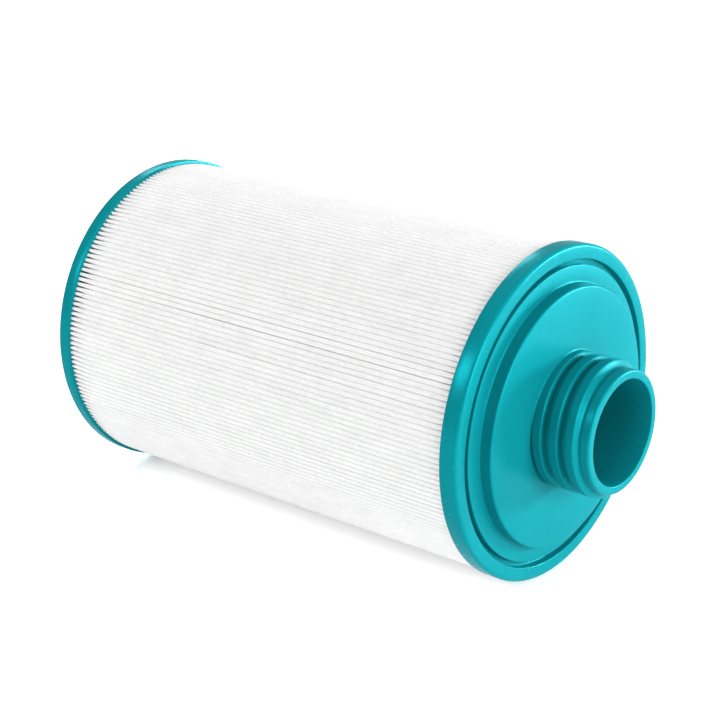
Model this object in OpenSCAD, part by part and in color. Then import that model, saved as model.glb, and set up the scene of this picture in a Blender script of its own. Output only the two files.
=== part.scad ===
// Pleated filter cartridge with a coarse threaded nozzle at one end and a grip handle at the other.
// It lies on its side: the axis runs along X, and +X points out of the threaded nozzle.

/* [Cartridge] */
// Length between the outer rim faces of the two end caps
body_length = 235; // [150:1:330]
// Outside diameter of both end caps
cap_d = 151; // [135:1:185]
// How far the caps stand out past the pleats
cap_proud = 1.2; // [0.9:0.1:3]
// Width of the flat rim face of each cap
rim_width = 6.5; // [4:0.1:9]
// Rounding of the caps' outer corner
rim_round = 1; // [0.4:0.1:1.5]
// Gap round a moulded insert, inside the rim
groove_width = 2.6; // [1.5:0.1:4]
// Depth that the pleats are cast into each cap
potting_depth = 3; // [2:0.1:5]
// Cast wall between a moulded insert and the ends of the pleats
web = 1.8; // [1.2:0.1:4]

/* [Threaded end] */
// Height of the cast cap at the threaded end
threaded_cap_height = 8.4; // [7:0.1:14]
// Level of the insert's outer ring below the rim face
ring_sunk = 0.3; // [0:0.1:1]
// Width of the insert's outer ring
ring_width = 7.9; // [4:0.1:12]
// Height of the raised disc above the rim face
disc_height = 5.7; // [4:0.1:12]
// Wall of the moulded inserts
insert_wall = 3; // [2:0.1:4]
// Bore of the nozzle
bore_d = 47.4; // [36:0.2:50]
// Outside diameter of the plain nose of the nozzle
nose_d = 55.2; // [54.4:0.2:58]
// Outside diameter over the thread
thread_d = 60.3; // [58:0.1:66]
// Diameter at the bottom of the thread
root_d = 54.4; // [53.6:0.2:54.4]
// Advance of the thread in one turn
thread_pitch = 8; // [6:0.5:10]
// Width of the flat crest of the thread
crest_width = 4.2; // [3:0.1:4.5]
// Axial width of each flank of the thread
flank_width = 1.4; // [0.8:0.1:1.6]
// Length of the nose past the end of the thread, run-out and all
nose_length = 0.8; // [0.5:0.1:6]
// How far the nose reaches back under the last turn of the thread
nose_back = 4.3; // [0.5:0.1:6]
// Rounding of the mouth of the nozzle
mouth_round = 1; // [0.4:0.1:1.5]
// Number of turns of full thread
thread_turns = 3; // [1.5:0.25:5]

/* [Core] */
// Bore of the perforated core
core_bore_d = 54; // [53.6:0.2:58]
// Wall of the core
core_wall = 2.5; // [1.5:0.1:3]
// Clearance of an insert's spigot in the core
spigot_clearance = 0.2; // [0.1:0.05:0.4]
// How far the spigots reach into the core
spigot_length = 9; // [5:0.5:20]
// Number of windows round the core
windows_around = 12; // [8:1:16]
// Number of rows of windows in each half of the core
window_rows = 8; // [4:1:12]
// Share of the pitch of the windows that is open
window_share = 0.62; // [0.4:0.01:0.75]
// Length of the socket that joins the two halves
socket_length = 8; // [5:0.5:12]

/* [Pleats] */
// Number of pleats
pleat_count = 192; // [120:1:220]
// Thickness of the filter sheet
sheet = 0.45; // [0.3:0.01:0.6]
// Share of the outer pitch that a pleat's tip takes
tip_share = 0.66; // [0.5:0.01:0.8]
// Clearance between the inner folds and the core
fold_clearance = 0.8; // [0.3:0.1:2]
// Radial depth of the glue line that closes the sheet
seam_depth = 5; // [3:0.5:10]

/* [Closed end] */
// Height of the cast cap at the closed end
closed_cap_height = 6.6; // [6:0.1:14]
// Height of the closed end's raised disc above its rim face
closed_disc_height = 4; // [3:0.1:10]
// Length of the handle over its two feet
handle_span = 84; // [70:1:100]
// Width of the handle
handle_width = 22; // [16:1:30]
// Thickness of the handle's grip
handle_thick = 6; // [4:0.5:9]
// Room for fingers under the grip
finger_room = 22; // [16:1:32]
// Thickness of the handle's legs
leg_thick = 8; // [6:0.5:12]
// Depth of the sockets that hold the handle's feet
foot_depth = 2; // [1:0.1:2.5]

/* [Hidden] */
fine = 128;
teal = [0.10, 0.72, 0.78];
dark_teal = [0.07, 0.60, 0.66];
core_white = [0.88, 0.89, 0.88];
media_white = [0.95, 0.95, 0.94];

cap_r = cap_d / 2;
rim_in_r = cap_r - rim_width;
ring_r = rim_in_r - groove_width;
disc_r = ring_r - ring_width;
pleat_r = cap_r - cap_proud;
bore_r = bore_d / 2;
nose_r = nose_d / 2;
thread_r = thread_d / 2;
root_r = root_d / 2;
core_in_r = core_bore_d / 2;
core_out_r = core_in_r + core_wall;
spigot_r = core_in_r - spigot_clearance;

// Heights run along the axis, from the closed end's rim face.
threaded_rim = body_length;
threaded_floor = threaded_rim - threaded_cap_height + potting_depth + web;
pleats_top = threaded_floor - web;
closed_floor = closed_cap_height - potting_depth - web;
pleats_foot = closed_floor + web;
disc_top = threaded_rim + disc_height;
closed_disc_top = -closed_disc_height;

// The first crest leaves the raised disc, and the last one fades to just under the neck's face.
crest_sunk = 3.1;
ridge_buried = 0.8;
crest_ease = 0.35;
steps_per_turn = 40;
run_out_turns = 0.25;
run_out_end = -0.1;
first_crest = disc_top - crest_sunk;
all_turns = thread_turns + run_out_turns;
last_crest = first_crest + thread_pitch * all_turns;
thread_top = last_crest + crest_width / 2 + flank_width;
nose_start = thread_top - nose_back;
nozzle_end = thread_top + nose_length;

// Play between neighbouring pieces, and the wall left round the neck and the spigot
pot_play = 0.1;
tongue_play = 0.05;
neck_wall = 1;
edge_facets = 32;

// The pack of pleats can't go further in than its own folds let it.
fold_spacing = 1.04;
packed_r = pleat_count * 2 * sheet * fold_spacing / (2 * PI);
fold_r = max(core_out_r + fold_clearance, packed_r);
pot_wall_r = pleat_r + pot_play;
corner_r = 5;
seam_share = 0.7;
seam_sunk = 1;
fold_ease_share = 0.8;

socket_mid = (pleats_top + pleats_foot) / 2;
grip_top = closed_disc_top - finger_room - handle_thick;
middle_x = (nozzle_end + grip_top) / 2;

// Lays the upright cartridge on its side, centred over the origin and resting on the floor.
module lie_down() {
    translate([-middle_x, 0, cap_r]) rotate([0, 90, 0]) children();
}

// A cast end cap: rim, groove round the insert, web and a pocket that holds the pleat ends.
// Drawn with its rim face at height 0 and the cartridge below it.
module cast_cap(height, floor_depth) {
    rotate_extrude($fn = fine)
        difference() {
            union() {
                polygon([[spigot_r, -height], [cap_r, -height], [cap_r, -rim_round],
                         [cap_r - rim_round, 0], [spigot_r, 0]]);
                translate([cap_r - rim_round, -rim_round]) circle(r = rim_round, $fn = edge_facets);
            }
            translate([0, -floor_depth]) square([rim_in_r, floor_depth + 1]);
            translate([0, -height - 1]) square([pot_wall_r, 1 + potting_depth]);
        }
}

module threaded_end_cap() {
    color(teal) lie_down() translate([0, 0, threaded_rim])
        cast_cap(threaded_cap_height, threaded_rim - threaded_floor);
}

module closed_end_cap() {
    color(teal) lie_down() mirror([0, 0, 1])
        cast_cap(closed_cap_height, closed_floor);
}

// Half width of the thread's ridge at radius r, without its share of the crest.
function flank_at(r) = flank_width * (thread_r - r) / (thread_r - root_r);

// One cross-section of the ridge: from its buried foot to its eased crest and back.
function ridge_section(height) =
    let (foot = root_r - ridge_buried, top = root_r + height, half = crest_width / 2)
    [[foot, -half - flank_at(foot)],
     [top - crest_ease, -half - flank_at(thread_r - crest_ease)],
     [top, -half + crest_ease],
     [top, half - crest_ease],
     [top - crest_ease, half + flank_at(thread_r - crest_ease)],
     [foot, half + flank_at(foot)]];

// The helical ridge. It grows out of the disc, and sinks into the neck over the run-out.
module thread_ridge() {
    steps = round(all_turns * steps_per_turn);
    full = thread_r - root_r;
    rings = [for (i = [0:steps])
        let (turns = all_turns * i / steps,
             left = (all_turns - turns) / run_out_turns,
             height = full * min(1, run_out_end + (1 - run_out_end) * left),
             crest = first_crest + thread_pitch * turns)
        [for (p = ridge_section(height))
            [p[0] * cos(360 * turns), p[0] * sin(360 * turns), crest + p[1]]]];
    n = len(rings[0]);
    points = [for (ring = rings) for (p = ring) p];
    sides = [for (i = [0:steps - 1]) for (j = [0:n - 1])
        let (a = i * n + j, b = i * n + (j + 1) % n)
        each [[a, b, b + n], [a, b + n, a + n]]];
    first = [[for (j = [n - 1:-1:0]) j]];
    last = [[for (j = [0:n - 1]) steps * n + j]];
    polyhedron(points = points, faces = concat(sides, first, last), convexity = 10);
}

// Moulded insert: outer ring, raised disc, threaded neck and the spigot that enters the core.
module threaded_adapter() {
    ring_top = threaded_rim - ring_sunk;
    color(dark_teal) lie_down() difference() {
        union() {
            rotate_extrude($fn = fine) union() {
                polygon([[bore_r, threaded_floor], [ring_r, threaded_floor], [ring_r, ring_top],
                         [disc_r, ring_top], [disc_r, disc_top], [bore_r, disc_top]]);
                translate([bore_r, pleats_top - spigot_length])
                    square([spigot_r - bore_r, spigot_length + web + 1]);
            }
            translate([0, 0, threaded_rim])
                cylinder(r = root_r, h = nose_start + 1 - threaded_rim, $fn = fine);
            rotate_extrude($fn = fine) difference() {
                translate([bore_r, nose_start]) square([nose_r - bore_r, nozzle_end - nose_start]);
                translate([nose_r - mouth_round, nozzle_end - mouth_round]) difference() {
                    square(mouth_round + 1);
                    circle(r = mouth_round, $fn = edge_facets);
                }
            }
            difference() {
                thread_ridge();
                translate([0, 0, threaded_floor - cap_r])
                    cylinder(r = cap_r, h = cap_r + disc_top - insert_wall / 2 - threaded_floor, $fn = fine);
            }
        }
        translate([0, 0, -1]) cylinder(r = bore_r, h = nozzle_end + 2, $fn = fine);
        // The hollow under the raised disc, which keeps the moulding's walls even
        translate([0, 0, threaded_floor - 1]) difference() {
            cylinder(r = disc_r - insert_wall, h = disc_top - insert_wall - threaded_floor + 1, $fn = fine);
            translate([0, 0, -1])
                cylinder(r = root_r + neck_wall, h = disc_top - threaded_floor + 2, $fn = fine);
        }
    }
}

// Moulded plate that closes the far end: outer ring, raised disc, sockets and a closed spigot.
module closed_end_plate() {
    color(dark_teal) lie_down() difference() {
        rotate_extrude($fn = fine)
            polygon([[0, pleats_foot + spigot_length], [spigot_r, pleats_foot + spigot_length],
                     [spigot_r, closed_floor], [ring_r, closed_floor], [ring_r, ring_sunk],
                     [disc_r, ring_sunk], [disc_r, closed_disc_top], [0, closed_disc_top]]);
        // The hollow spigot, open towards the core
        translate([0, 0, closed_disc_top + insert_wall])
            cylinder(r = spigot_r - insert_wall, h = spigot_length + web + insert_wall + cap_r, $fn = fine);
        // The hollow under the raised disc
        translate([0, 0, closed_disc_top + insert_wall]) difference() {
            cylinder(r = disc_r - insert_wall, h = closed_floor + 1 - closed_disc_top, $fn = fine);
            translate([0, 0, -1])
                cylinder(r = spigot_r + neck_wall, h = closed_floor + 3 - closed_disc_top, $fn = fine);
        }
        for (side = [-1, 1]) translate([0, side * (handle_span - leg_thick) / 2, closed_disc_top])
            cube([handle_width, leg_thick, 2 * foot_depth], center = true);
    }
}

// Bridge handle: two legs that sit in the plate's sockets, and a grip with eased corners.
module grip_handle() {
    rise = finger_room + handle_thick;
    color(teal) lie_down() translate([0, 0, closed_disc_top]) rotate([90, 0, 90])
        linear_extrude(height = handle_width, center = true, convexity = 4) {
            difference() {
                union() {
                    translate([-handle_span / 2, corner_r - rise]) square([handle_span, rise - corner_r]);
                    translate([corner_r - handle_span / 2, -rise])
                        square([handle_span - 2 * corner_r, rise]);
                    for (side = [-1, 1]) translate([side * (handle_span / 2 - corner_r), corner_r - rise])
                        circle(r = corner_r, $fn = edge_facets);
                }
                finger_gap_outline();
            }
            for (side = [-1, 1])
                translate([side * (handle_span - leg_thick) / 2 - leg_thick / 2, -1])
                    square([leg_thick, foot_depth + 1]);
        }
}

// The space for fingers, seen along the width of the handle.
module finger_gap_outline() {
    half = handle_span / 2 - leg_thick;
    translate([-half, corner_r - finger_room]) square([2 * half, finger_room]);
    translate([corner_r - half, -finger_room]) square([2 * (half - corner_r), finger_room]);
    for (side = [-1, 1]) translate([side * (half - corner_r), corner_r - finger_room])
        circle(r = corner_r, $fn = edge_facets);
}

// A stretch of the perforated core, drawn from height 0, with its windows cut through it.
module core_tube(length, solid_end) {
    row_pitch = (length - 2 * solid_end) / window_rows;
    window_h = row_pitch * window_share;
    window_w = 2 * PI * core_out_r / windows_around * window_share;
    difference() {
        cylinder(r = core_out_r, h = length, $fn = fine);
        translate([0, 0, -1]) cylinder(r = core_in_r, h = length + 2, $fn = fine);
        for (row = [0:window_rows - 1], turn = [0:windows_around - 1])
            rotate([0, 0, 360 * turn / windows_around])
                translate([core_in_r - 1, 0, solid_end + (row + 0.5) * row_pitch])
                    translate([0, -window_w / 2, -window_h / 2])
                        cube([core_wall + 2, window_w, window_h]);
    }
}

// The two halves of the core plug together: one has a thin tongue inside the other's socket.
module core_half_threaded_end() {
    color(core_white) lie_down() translate([0, 0, socket_mid]) difference() {
        core_tube(pleats_top - socket_mid, socket_length + 2);
        translate([0, 0, -1]) cylinder(r = core_in_r + core_wall / 2, h = socket_length + 1, $fn = fine);
    }
}

module core_half_closed_end() {
    color(core_white) lie_down() {
        translate([0, 0, pleats_foot]) core_tube(socket_mid - pleats_foot, socket_length + 2);
        translate([0, 0, socket_mid - 0.5]) difference() {
            cylinder(r = core_in_r + core_wall / 2 - tongue_play, h = socket_length, $fn = fine);
            translate([0, 0, -1]) cylinder(r = core_in_r, h = socket_length + 2, $fn = fine);
        }
    }
}

// A point at radius r, turned by an angle and shifted sideways by a distance along the arc.
function polar(r, angle, shift) =
    let (a = angle + shift / r * 180 / PI) [r * cos(a), r * sin(a)];

// The folded sheet: its outer face runs over the tips, its inner face round the inside folds.
module pleated_media() {
    step = 360 / pleat_count;
    tip_half = tip_share * PI * pleat_r / pleat_count;
    fold_half = PI * fold_r / pleat_count;
    ease = sheet * fold_ease_share;
    outer_face = [for (i = [0:pleat_count - 1]) each [
        polar(pleat_r - ease, i * step, -tip_half),
        polar(pleat_r, i * step, ease - tip_half),
        polar(pleat_r, i * step, tip_half - ease),
        polar(pleat_r - ease, i * step, tip_half),
        polar(fold_r + sheet, (i + 0.5) * step, 0)]];
    inner_face = [for (i = [0:pleat_count - 1]) each [
        polar(fold_r, i * step, sheet - fold_half),
        polar(pleat_r - sheet - ease, i * step, sheet - tip_half),
        polar(pleat_r - sheet, i * step, 0),
        polar(pleat_r - sheet - ease, i * step, tip_half - sheet),
        polar(fold_r, i * step, fold_half - sheet)]];
    color(media_white) lie_down() translate([0, 0, pleats_foot])
        linear_extrude(height = pleats_top - pleats_foot, convexity = 20) difference() {
            polygon(outer_face);
            polygon(inner_face);
        }
}

// Glue line that joins the two ends of the sheet, in the slot between two pleats.
module media_seam() {
    slot = 2 * PI * pleat_r / pleat_count * (1 - tip_share);
    color(media_white) lie_down() rotate([0, 0, 180 / pleat_count])
        translate([pleat_r - seam_sunk - seam_depth, -slot * seam_share / 2, pleats_foot])
            cube([seam_depth, slot * seam_share, pleats_top - pleats_foot]);
}

threaded_end_cap();
threaded_adapter();
closed_end_cap();
closed_end_plate();
grip_handle();
core_half_threaded_end();
core_half_closed_end();
pleated_media();
media_seam();
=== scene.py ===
import math
import random

import bpy
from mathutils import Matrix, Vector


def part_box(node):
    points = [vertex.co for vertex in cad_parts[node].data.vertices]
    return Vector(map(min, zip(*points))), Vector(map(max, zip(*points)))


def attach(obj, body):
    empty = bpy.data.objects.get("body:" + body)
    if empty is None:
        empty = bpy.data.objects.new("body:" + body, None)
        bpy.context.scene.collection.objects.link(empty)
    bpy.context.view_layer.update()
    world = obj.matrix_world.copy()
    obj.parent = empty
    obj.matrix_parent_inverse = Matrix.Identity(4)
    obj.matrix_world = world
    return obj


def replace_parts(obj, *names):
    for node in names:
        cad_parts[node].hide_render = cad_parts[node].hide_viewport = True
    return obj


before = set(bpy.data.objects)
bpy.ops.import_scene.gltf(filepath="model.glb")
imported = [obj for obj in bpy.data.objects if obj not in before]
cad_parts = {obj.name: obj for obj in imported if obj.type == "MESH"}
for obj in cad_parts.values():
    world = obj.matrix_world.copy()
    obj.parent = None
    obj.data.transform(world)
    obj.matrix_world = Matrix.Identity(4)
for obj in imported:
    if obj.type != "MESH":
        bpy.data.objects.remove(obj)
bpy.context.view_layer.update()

# ---------------------------------------------------------------- The pleated filter sheet
# One long strip of white spunbonded polyester, folded into deep pleats and closed into a ring.
# The end caps are cast round its ends and pinch the tips there. In between, the tips spread
# and lean a little, until neighbours almost touch.
tau = 2 * math.pi
closed_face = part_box("closed_end_cap")[0][0] * 1000
threaded_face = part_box("threaded_end_cap")[1][0] * 1000
axis_height = (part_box("threaded_end_cap")[0][2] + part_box("threaded_end_cap")[1][2]) / 2
pleats_foot, pleats_top = (corner[0] * 1000 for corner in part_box("pleated_media"))
pleat_count = 192
pleat_tip_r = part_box("pleated_media")[1][1] * 1000
fold_r = 30.6
sheet_thickness = 0.45


def at(x, radius, angle):
    """A point in metres, from millimetres along and out from the axis, and radians round it."""
    return (x / 1000, radius * math.cos(angle) / 1000, axis_height + radius * math.sin(angle) / 1000)


def ease(share):
    """0 to 1, starting and ending gently."""
    share = min(1.0, max(0.0, share))
    return share * share * (3 - 2 * share)


class Shell:
    """The points and faces of one piece. Points that fall together become one."""

    def __init__(self):
        self.known, self.points, self.faces = {}, [], []

    def point(self, place):
        key = tuple(round(c * 1e7) for c in place)
        if key not in self.known:
            self.known[key] = len(self.points)
            self.points.append(place)
        return self.known[key]

    def face(self, corners):
        distinct = list(dict.fromkeys(corners))
        if len(distinct) > 2:
            self.faces.append(distinct)

    def strip(self, rows, closed=False, climb=0):
        """Joins rings of points, each to the next. After a turn, a ring meets the one climb rows on."""
        ids = [[self.point(p) for p in row] for row in rows]
        count, last = len(ids[0]), len(ids) - 1
        pairs = [(q, q + 1) for q in range(last)] + ([(last, 0)] if closed else [])
        for near, far in pairs:
            for j in range(count - 1):
                self.face((ids[near][j], ids[near][j + 1], ids[far][j + 1], ids[far][j]))
            near_end, far_end = min(near + climb, last), min(far + climb, last)
            self.face((ids[near][-1], ids[near_end][0], ids[far_end][0], ids[far][-1]))

    def piece(self, name, finish, crease=40):
        """Makes the object, with faces that meet at more than crease degrees kept sharp."""
        mesh = bpy.data.meshes.new(name)
        mesh.from_pydata(self.points, [], self.faces)
        mesh.shade_smooth()
        mesh.set_sharp_from_angle(angle=math.radians(crease))
        made = bpy.data.objects.new(name, mesh)
        bpy.context.scene.collection.objects.link(made)
        mesh.materials.append(finish.material)
        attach(made, "root")
        return made


class Wire:
    """A shader node's output. A sum on it is a plain expression, which adds its Math node."""

    def __init__(self, finish, socket):
        self.finish, self.socket = finish, socket

    def maths(self, operation, other):
        return self.finish.node("ShaderNodeMath", {"operation": operation}, [self, other])

    def __add__(self, other):
        return self.maths("ADD", other)

    __radd__ = __add__

    def __mul__(self, other):
        return self.maths("MULTIPLY", other)

    __rmul__ = __mul__


class Finish:
    """A procedural material or world. node() adds a node, and surface() sets its shader's sockets."""

    def __init__(self, owner):
        self.material = owner
        owner.use_nodes = True
        self.nodes, self.links = owner.node_tree.nodes, owner.node_tree.links
        self.shader = next(n for n in self.nodes if n.type in ("BSDF_PRINCIPLED", "BACKGROUND"))

    def put(self, socket, value):
        if isinstance(value, Wire):
            self.links.new(value.socket, socket)
        else:
            socket.default_value = value

    def node(self, kind, settings, sockets, output=0):
        made = self.nodes.new(kind)
        for key, value in settings.items():
            setattr(made, key, value)
        for key, value in sockets.items() if isinstance(sockets, dict) else enumerate(sockets):
            self.put(made.inputs[key], value)
        return Wire(self, made.outputs[output])

    def surface(self, sockets):
        for key, value in sockets.items():
            self.put(self.shader.inputs[key], value)

    def place(self, scale):
        """The point on the surface in metres, times a scale along each axis."""
        spot = self.node("ShaderNodeTexCoord", {}, {}, "Object")
        return self.node("ShaderNodeVectorMath", {"operation": "MULTIPLY"}, [spot, scale])

    def noise(self, scale, detail=3.0, roughness=0.5, stretch=(1, 1, 1)):
        """Cloudy noise from 0 to 1, with scale in spots a metre."""
        return self.node("ShaderNodeTexNoise", {}, {
            "Vector": self.place(stretch), "Scale": scale, "Detail": detail, "Roughness": roughness})

    def bump(self, height, distance, strength=1.0):
        sockets = {"Height": height, "Distance": distance, "Strength": strength}
        return self.node("ShaderNodeBump", {}, sockets)

    def blend(self, share, first, second):
        """Mixes two colours."""
        return self.node("ShaderNodeMix", {"data_type": "RGBA"}, {0: share, 6: first, 7: second}, 2)


fabric = Finish(bpy.data.materials.new("spunbonded_polyester"))
clouds = fabric.noise(160, 4.0, 0.6, (0.35, 1, 1))
fibres = fabric.noise(2600, 3.0, 0.7, (1, 0.45, 0.45))
streaks = fabric.noise(1000, 2.0, 0.6, (0.35, 1, 1))
felt = 0.30 * fibres + 0.70 * streaks
thin_white, thick_white = (0.50, 0.50, 0.505, 1), (0.85, 0.85, 0.845, 1)
fabric.surface({
    "Base Color": fabric.blend(0.40 * clouds + 0.60 * felt, thin_white, thick_white),
    "Roughness": 0.82 + 0.16 * felt,
    "Specular IOR Level": 0.25,
    "Subsurface Weight": 0.6,
    "Subsurface Scale": 0.0012,
    "Subsurface Radius": (1.0, 1.0, 1.0),
    "Normal": fabric.bump(felt + 0.8 * clouds, 0.00022, 0.8),
})

dice = random.Random(41)
loose_middle, loose_reach = math.radians(156), math.radians(17)


def looseness(i):
    """How loosely a pleat lies. One stretch of the ring is looser, where the folds have parted."""
    away = (tau * i / pleat_count - loose_middle) / loose_reach
    return 0.25 + 1.35 * math.exp(-away ** 2)


# Each pleat leans and sways sideways, sits low and is narrower than its share, all in millimetres
# but for the spread, which is a share. The sway is a wave along the pleat.
pleats = [{
    "lean": looseness(i) * dice.gauss(0, 0.03),
    "sway": dice.uniform(0.01, 0.05),
    "wave": dice.uniform(90, 260),
    "phase": dice.uniform(0, tau),
    "low": min(0.16, looseness(i) * abs(dice.gauss(0, 0.05))),
    "spread": 1.0 - looseness(i) * dice.uniform(0.0, 0.045),
} for i in range(pleat_count)]
closed_pinch, threaded_pinch = 0.48, 0.80
closed_opening, threaded_opening = 15, 11
open_half, tip_play = 0.985, 0.02
pinched_drop, open_drop = 0.55, 0.05
shoulder = [math.radians(a) for a in (-88, -74, -30, 30, 74, 88)]


def fold_line(x):
    """The middle of the sheet where a plane cuts it at x, as points (across, up) from the axis."""
    free = min(ease((x - pleats_foot) / closed_opening), ease((pleats_top - x) / threaded_opening))
    pinched = closed_pinch if x < 0 else threaded_pinch
    line = []
    for i, pleat in enumerate(pleats):
        middle = tau * i / pleat_count
        swing = math.sin(tau * x / pleat["wave"] + pleat["phase"])
        shift = pleat["lean"] + free * pleat["sway"] * swing
        tip = pleat_tip_r - sheet_thickness / 2 - tip_play - pleat["low"] * (0.5 + 0.5 * free)
        half = pinched + (open_half * pleat["spread"] - pinched) * free
        drop = pinched_drop + (open_drop - pinched_drop) * free
        leg = [(31.4, 0.27), (37.0, 0.34), (50.0, 0.50), (63.0, 0.42 + 0.3 * half),
               (tip - 3.0, 0.97 * half)]
        section = [(r, -t) for r, t in leg]
        section += [(tip - drop * (1 - math.cos(s)), half * math.sin(s)) for s in shoulder]
        section += [(r, t) for r, t in reversed(leg)]
        line.append((fold_r, middle - tau / pleat_count / 2))
        line += [(r, middle + (t + shift * ease((r - fold_r) / 30)) / r) for r, t in section]
    return [(r * math.cos(a), r * math.sin(a)) for r, a in line]


def face_line(x, side):
    """One face of the sheet at x: side is 1 for the outer face and -1 for the inner one."""
    line = fold_line(x)
    ring = []
    for j, (y, z) in enumerate(line):
        (y0, z0), (y1, z1) = line[j - 1], line[(j + 1) % len(line)]
        length = math.hypot(y1 - y0, z1 - z0)
        out = side * sheet_thickness / 2 / length
        ring.append((x / 1000, (y + out * (z1 - z0)) / 1000, axis_height + (z - out * (y1 - y0)) / 1000))
    return ring


span = pleats_top - pleats_foot
near_caps = [0.0, 3.2, 5.0, 7.5, 10.5, 14.0, 19.0, 27.0]
long_steps = 13
long_stretch = span - 2 * near_caps[-1]
outer_rows = [pleats_foot + d for d in near_caps]
outer_rows += [pleats_foot + near_caps[-1] + long_stretch * k / long_steps for k in range(1, long_steps)]
outer_rows += [pleats_top - d for d in reversed(near_caps)]
sheet = Shell()
sheet.strip([face_line(x, 1) for x in outer_rows]
            + [face_line(x, -1) for x in reversed(outer_rows[::4] + outer_rows[-1:])], closed=True)
pleated_sheet = sheet.piece("pleated_sheet", fabric, crease=80)
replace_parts(pleated_sheet, "pleated_media")
folds = fold_line(0.0)
unfolded = sum(math.dist(p, q) for p, q in zip(folds, folds[1:] + folds[:1])) / 1000

# ---------------------------------------------------------------- The glue line
# The two ends of the strip are glued face to face, in a slot between two pleats.
# It is a thin run of hot glue that sets milky white.
glue = Finish(bpy.data.materials.new("set_hot_glue"))
cloudy, milky = (0.72, 0.72, 0.68, 1), (0.86, 0.86, 0.83, 1)
glue.surface({
    "Base Color": glue.blend(glue.noise(300), cloudy, milky),
    "Roughness": 0.35 + 0.2 * glue.noise(500),
    "Normal": glue.bump(glue.noise(700), 0.0002),
})
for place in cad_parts["media_seam"].material_slots:
    place.material = glue.material

# ---------------------------------------------------------------- The core
# Two moulded tubes with rows of windows, which plug together halfway along the cartridge.
# They are plain off-white polypropylene with a matt face from the mould.
polypropylene = Finish(bpy.data.materials.new("moulded_polypropylene"))
grain = polypropylene.noise(1800, 2.0)
grey_white, off_white = (0.70, 0.71, 0.70, 1), (0.80, 0.81, 0.80, 1)
polypropylene.surface({
    "Base Color": polypropylene.blend(polypropylene.noise(60), grey_white, off_white),
    "Roughness": 0.42 + 0.14 * grain,
    "Normal": polypropylene.bump(grain, 0.00004),
})
for half in ("core_half_threaded_end", "core_half_closed_end"):
    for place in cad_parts[half].material_slots:
        place.material = polypropylene.material

# ---------------------------------------------------------------- The closed end's plate
# A moulded plate with an outer ring, a raised disc and a short closed spigot that enters the core.
# It is glossy teal plastic, coloured right through, with eased edges.
teal_low, teal_mid = (0.002, 0.175, 0.200, 1), (0.003, 0.212, 0.243, 1)
moulded = Finish(bpy.data.materials.new("moulded_teal_plastic"))
flow = moulded.noise(45, 3.0)
peel = moulded.noise(900, 2.0)
moulded.surface({
    "Base Color": moulded.blend(flow, teal_low, teal_mid),
    "Roughness": 0.24 + 0.10 * moulded.noise(220, 4.0, 0.6),
    "Metallic": 0.20,
    "Specular IOR Level": 0.03,
    "Specular Tint": (0.03, 0.85, 1.0, 1),
    "Normal": moulded.bump(peel + 4.0 * flow, 0.000012),
})


def arc(centre, radius, start, end, steps=5):
    """Points (height, radius) on a rounded edge. Angle 0 is away from the axis, and 90 along it."""
    h, r = centre
    turns = [math.radians(start + (end - start) * k / steps) for k in range(steps + 1)]
    return [(h + radius * math.sin(t), r + radius * math.cos(t)) for t in turns]


def turned(profile, face, facing, count):
    """Rings of points for a profile of (height over a rim face, radius), so that it faces outwards."""
    rings = [[at(face + facing * h, r, tau * j / count) for j in range(count)] for h, r in profile]
    return rings if facing > 0 else rings[::-1]


ring_r, disc_r, spigot_r, bore_r = 66.4, 58.5, 26.8, 23.7
closed_disc_height, ring_sunk = 4.0, 0.3
closed_floor, spigot_end = 1.8, 12.6
plate_profile = [(-spigot_end, spigot_r - 0.5)] + arc((0.5 - spigot_end, spigot_r - 0.5), 0.5, -60, 0, 3)
plate_profile += [(-closed_floor, spigot_r), (-closed_floor, ring_r)]
plate_profile += arc((-ring_sunk - 0.4, ring_r - 0.4), 0.4, 0, 90)
plate_profile += [(-ring_sunk, disc_r + 1.2)]
plate_profile += [(h, r) for h, r in reversed(arc((-ring_sunk + 0.6, disc_r + 0.6), 0.6, 180, 270))]
plate_profile += arc((closed_disc_height - 0.9, disc_r - 0.9), 0.9, 0, 90)
plate_profile += [(closed_disc_height, r) for r in (48.0, 36.0, 24.0, 12.0, 4.0, 0.0)]
plate_profile += [(1.0, 0.0), (1.0, bore_r), (-spigot_end, bore_r)]
plate = Shell()
plate.strip(turned(plate_profile, closed_face, -1, 256), closed=True)
closed_plate = plate.piece("closed_end_disc", moulded)
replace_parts(closed_plate, "closed_end_plate")

# ---------------------------------------------------------------- The grip handle
# A bridge handle whose two feet are bonded into sockets in the plate.
# The moulding is rounded along every edge that a hand touches.
handle_low, handle_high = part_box("grip_handle")
grip_x = handle_low[0] * 1000
half_span, half_width = handle_high[1] * 1000, (handle_high[2] - handle_low[2]) * 500
leg, grip, corner, edge = 8.0, 6.0, 5.0, 1.6
plate_x = closed_face - closed_disc_height
inner_y, inner_x = half_span - leg, grip_x + grip
stations = [((plate_x + 1.5, inner_y), (plate_x + 1.5, half_span))]
stations += [((x, inner_y), (x, half_span)) for x in (plate_x - 1.0, plate_x - 8.0)]
for k in range(9):
    back = corner - corner * math.sin(math.pi / 2 * k / 8)
    aside = corner - corner * math.cos(math.pi / 2 * k / 8)
    stations.append(((inner_x + back, inner_y - aside), (grip_x + back, half_span - aside)))
stations += [((inner_x, y), (grip_x, y)) for y in (18.0, 6.0)]
stations += [((xi, -yi), (xo, -yo)) for (xi, yi), (xo, yo) in reversed(stations)]
handle = Shell()
rings = []
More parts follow.
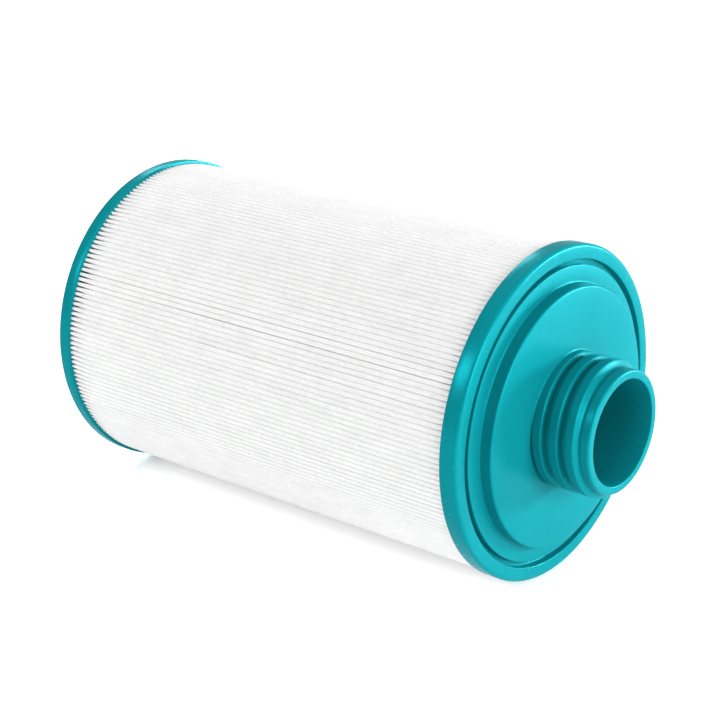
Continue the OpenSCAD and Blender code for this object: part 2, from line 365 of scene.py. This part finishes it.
for (xi, yi), (xo, yo) in stations:
    thick = math.hypot(xo - xi, yo - yi)
    ring = []
    for quarter, (u0, w0) in enumerate([(1, 1), (0, 1), (0, -1), (1, -1)]):
        for k in range(5):
            t = math.radians(90 * quarter + 22.5 * k)
            u = (edge if u0 == 0 else thick - edge) + edge * math.cos(t)
            w = w0 * (half_width - edge) + edge * math.sin(t)
            x, y = xi + (xo - xi) * u / thick, yi + (yo - yi) * u / thick
            ring.append((x / 1000, y / 1000, axis_height + w / 1000))
    rings.append(ring)
handle.strip(rings)
handle.face([handle.point(p) for p in reversed(rings[0])])
handle.face([handle.point(p) for p in rings[-1]])
bridge = handle.piece("bridge_handle", moulded)
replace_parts(bridge, "grip_handle")

# ---------------------------------------------------------------- The cast end caps
# Teal polyurethane, poured round the ends of the pleats in a shallow mould and cut to no other shape.
# Each has a flat rim, and a lip from which the resin creeps a little way up between the pleats.
urethane = Finish(bpy.data.materials.new("cast_teal_urethane"))
pour = urethane.noise(35, 4.0)
skin = urethane.noise(700, 3.0)
thin_teal, thick_teal = (0.002, 0.175, 0.200, 1), (0.003, 0.222, 0.253, 1)
urethane.surface({
    "Base Color": urethane.blend(pour, thin_teal, thick_teal),
    "Roughness": 0.20 + 0.12 * urethane.noise(150, 4.0, 0.6),
    "Metallic": 0.20,
    "Specular IOR Level": 0.03,
    "Specular Tint": (0.03, 0.85, 1.0, 1),
    "Normal": urethane.bump(skin + 4.0 * pour, 0.000016),
})
cap_r, rim_width, rim_edge = axis_height * 1000, 6.5, 1.5
lip_r, columns_a_pleat = 74.42, 8
web, web_in_r = 1.75, 30.0
threaded_floor = 3.6


def cast_cap(name, node, face, facing, height, floor):
    """A cap whose rim face is at x = face, height tall, with its insert bedded floor below the rim."""
    rim_in = cap_r - rim_width
    outside = arc((-height + 0.25, cap_r - 0.25), 0.25, -90, 0, 3)
    outside += [(-height * 0.6, cap_r)] + arc((-rim_edge, cap_r - rim_edge), rim_edge, 0, 90, 7)
    outside += arc((-0.35, rim_in + 0.35), 0.35, 90, 180, 3)
    outside += [(-floor + 0.5, rim_in), (-floor + 0.15, rim_in - 0.15), (-floor, rim_in - 0.5)]
    outside += [(-floor, ring_r - 4), (-floor, spigot_r + 0.1), (-floor - web, spigot_r + 0.1)]
    outside += [(-floor - web, web_in_r), (-height, web_in_r)]
    count = pleat_count * columns_a_pleat
    creep = [dice.uniform(0.35, 1.25) for _ in range(pleat_count)]
    rings = turned(outside, face, facing, count)
    bed = [(55.0, 0.3), (68.0, 0.6), (72.5, 0.9), (73.6, 1.0), (74.0, 0.8), (74.3, 0.25), (lip_r, 0.0)]
    bedding = []
    for radius, share in bed:
        ring = []
        for j in range(count):
            between = 0.5 - 0.5 * math.cos(tau * j / columns_a_pleat)
            rise = creep[j // columns_a_pleat] * share * between ** 1.5 - 0.15 * share
            ring.append(at(face - facing * (height + rise), radius, tau * j / count))
        bedding.append(ring)
    rings = rings + bedding if facing > 0 else bedding[::-1] + rings
    cap = Shell()
    cap.strip(rings, closed=True)
    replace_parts(cap.piece(name, urethane), node)


cast_cap("closed_end_casting", "closed_end_cap", closed_face, -1, 6.6, closed_floor)
cast_cap("threaded_end_casting", "threaded_end_cap", threaded_face, 1, 8.4, threaded_floor)

# ---------------------------------------------------------------- The threaded insert
# One moulding: an outer ring bedded in the cast cap, a raised disc, a hollow neck with a coarse
# right-handed thread and a plain nose, and a spigot that enters the core behind.
root_r, thread_r, nose_r, pitch = 27.2, 30.15, 27.6, 8.0
disc_height, thread_turns, fade_turns = 5.7, 3.25, 0.25
crest_sunk, ridge_half, nose_back = 3.1, 3.5, 4.3
first_crest = disc_height - crest_sunk
nose_foot = first_crest + pitch * thread_turns + ridge_half - nose_back
nozzle_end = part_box("threaded_adapter")[1][0] * 1000 - threaded_face
insert_spigot_end = 14.4
ridge = [(0.0, 1.0), (1.0, 1.0), (1.75, 1.0), (1.95, 0.985), (2.10, 0.93), (2.22, 0.84), (2.70, 0.50),
         (3.20, 0.13), (3.35, 0.05), (3.50, 0.015), (3.65, 0.0), (4.0, 0.0)]
start_angle, neck_count = -math.pi / 2, 360
zone_low, zone_high = disc_height + 0.4, nozzle_end - 1.2
laps = range(-1, 5)


def ridge_share(away):
    """The height of the thread's ridge, as a share of its crest's, that far along from its middle."""
    for (d0, s0), (d1, s1) in zip(ridge, ridge[1:]):
        if away <= d1:
            return s0 + (s1 - s0) * (away - d0) / (d1 - d0)
    return 0.0


def neck_radius(height, angle):
    """The neck's outer radius: its root, the nose or the ridge, whichever stands out most."""
    share, along = 0.0, (angle - start_angle) / tau
    for lap in laps:
        turns = along + lap
        if 0 <= turns <= thread_turns:
            grown = min(1.0, (thread_turns - turns) / fade_turns)
            share = max(share, grown * ridge_share(abs(height - first_crest - pitch * turns)))
    plain = root_r + (nose_r - root_r) * ease((height - nose_foot + 0.6) / 1.6)
    return max(plain, root_r + (thread_r - root_r) * share)


angles = [start_angle + tau * j / neck_count for j in range(neck_count)]
neck_rows = []
offsets = [-d for d, _ in reversed(ridge[1:])] + [d for d, _ in ridge[:-1]]
for lap in laps:
    for offset in offsets:
        row = []
        for j, angle in enumerate(angles):
            height = first_crest + pitch * (lap + j / neck_count) + offset
            height = min(zone_high, max(zone_low, height))
            row.append(at(threaded_face + height, neck_radius(height, angle), angle))
        neck_rows.append(row)


def insert_rings(profile):
    return [[at(threaded_face + h, r, angle) for angle in angles] for h, r in profile]


below = [(-insert_spigot_end, bore_r), (-insert_spigot_end, spigot_r - 0.5)]
below += arc((0.5 - insert_spigot_end, spigot_r - 0.5), 0.5, -60, 0, 3)
below += [(-threaded_floor, spigot_r), (-threaded_floor, ring_r)]
below += arc((-ring_sunk - 0.4, ring_r - 0.4), 0.4, 0, 90)
below += [(-ring_sunk, disc_r + 1.2)]
below += [(h, r) for h, r in reversed(arc((-ring_sunk + 0.6, disc_r + 0.6), 0.6, 180, 270))]
below += [(disc_height - 1.0, disc_r)] + arc((disc_height - 0.9, disc_r - 0.9), 0.9, 0, 90, 6)
below += [(disc_height, r) for r in (50.0, 42.0, 35.0, 31.5)]
fillet = ((0.0, 0.4), (0.04, 0.24), (0.14, 0.1), (0.4, 0.0))
foot = [[at(threaded_face + disc_height + rise, neck_radius(zone_low, angle) + out, angle)
         for angle in angles] for rise, out in fillet]
above = [(zone_high, nose_r)] + arc((nozzle_end - 1.0, nose_r - 1.0), 1.0, 0, 90, 7)
above += arc((nozzle_end - 0.35, bore_r + 0.35), 0.35, 90, 180, 3)
above += [(nozzle_end - 12, bore_r), (4.0, bore_r), (-insert_spigot_end, bore_r)]
insert = Shell()
insert.strip(insert_rings(below) + foot)
insert.strip(neck_rows, climb=len(offsets))
insert.strip(insert_rings(above))
threaded_insert = insert.piece("threaded_insert", moulded)
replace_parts(threaded_insert, "threaded_adapter")

# ---------------------------------------------------------------- Floor, light and camera
# A plain white floor, soft lights on the right, on the left, behind, in front and overhead,
# and a camera that looks down at the cartridge's side and into its threaded end.
floor_shell = Shell()
floor_reach = 4
floor_corners = ((-1, -1), (1, -1), (1, 1), (-1, 1))
floor_shell.face([floor_shell.point((floor_reach * x, floor_reach * y, 0)) for x, y in floor_corners])
floor_mesh = bpy.data.meshes.new("floor")
floor_mesh.from_pydata(floor_shell.points, [], floor_shell.faces)
floor = bpy.data.objects.new("floor", floor_mesh)
bpy.context.scene.collection.objects.link(floor)
white = Finish(bpy.data.materials.new("white_floor"))
pale, paler = (0.90, 0.90, 0.90, 1), (0.93, 0.93, 0.93, 1)
white.surface({
    "Base Color": white.blend(white.noise(3), pale, paler),
    "Roughness": 0.9,
    "Specular IOR Level": 0.1,
    "Emission Color": (1, 1, 1, 1),
    "Emission Strength": 0.30,
})
floor_mesh.materials.append(white.material)

studio = Finish(bpy.data.worlds.new("studio"))
sky_way = studio.node("ShaderNodeTexCoord", {}, {}, "Generated")
brightest_way = (0.25, 0.55, 0.80)
towards_light = studio.node("ShaderNodeVectorMath", {"operation": "DOT_PRODUCT"},
                            [sky_way, brightest_way], "Value")
studio.surface({"Color": (1, 1, 1, 1), "Strength": 0.60 + 0.30 * towards_light})
bpy.context.scene.world = studio.material
rim_centre = (threaded_face / 1000, 0.0, axis_height)


def softbox(name, direction, distance, size, watts):
    """An area light, size wide and high, that faces the middle of the threaded end."""
    lamp = bpy.data.lights.new(name, "AREA")
    lamp.shape, (lamp.size, lamp.size_y), lamp.energy = "RECTANGLE", size, watts
    made = bpy.data.objects.new(name, lamp)
    length = math.sqrt(sum(c * c for c in direction))
    made.location = [c + distance * d / length for c, d in zip(rim_centre, direction)]
    x, y, z = (d / length for d in direction)
    made.rotation_euler = (math.acos(z), 0.0, math.atan2(y, x) + math.pi / 2)
    bpy.context.scene.collection.objects.link(made)


softbox("right_light", (0.57, 0.82, 0.02), 1.2, (0.30, 0.18), 15)
softbox("left_light", (-0.54, -0.68, 0.50), 1.4, (0.30, 0.36), 6)
softbox("back_light", (-0.65, 0.53, 0.54), 1.6, (0.50, 0.40), 5.5)
softbox("front_light", (0.96, -0.08, 0.26), 1.3, (0.60, 0.60), 19)
overhead = bpy.data.lights.new("top_light", "SUN")
overhead.energy, overhead.angle = 0.45, 1.4
bpy.context.scene.collection.objects.link(bpy.data.objects.new("top_light", overhead))

lens = bpy.data.cameras.new("camera")
lens.sensor_width, lens.lens = 36.0, 91.82
camera = bpy.data.objects.new("camera", lens)
camera_from_rim, aim = (0.39686, -0.62997, 0.29976), (-0.58799, 0.73026, -0.34786)
camera.location = [c + d for c, d in zip(rim_centre, camera_from_rim)]
camera.rotation_euler = (math.acos(-aim[2]), 0.0, math.atan2(-aim[0], aim[1]))
bpy.context.scene.collection.objects.link(camera)
bpy.context.scene.camera = camera
bpy.context.scene.view_settings.view_transform = "Standard"
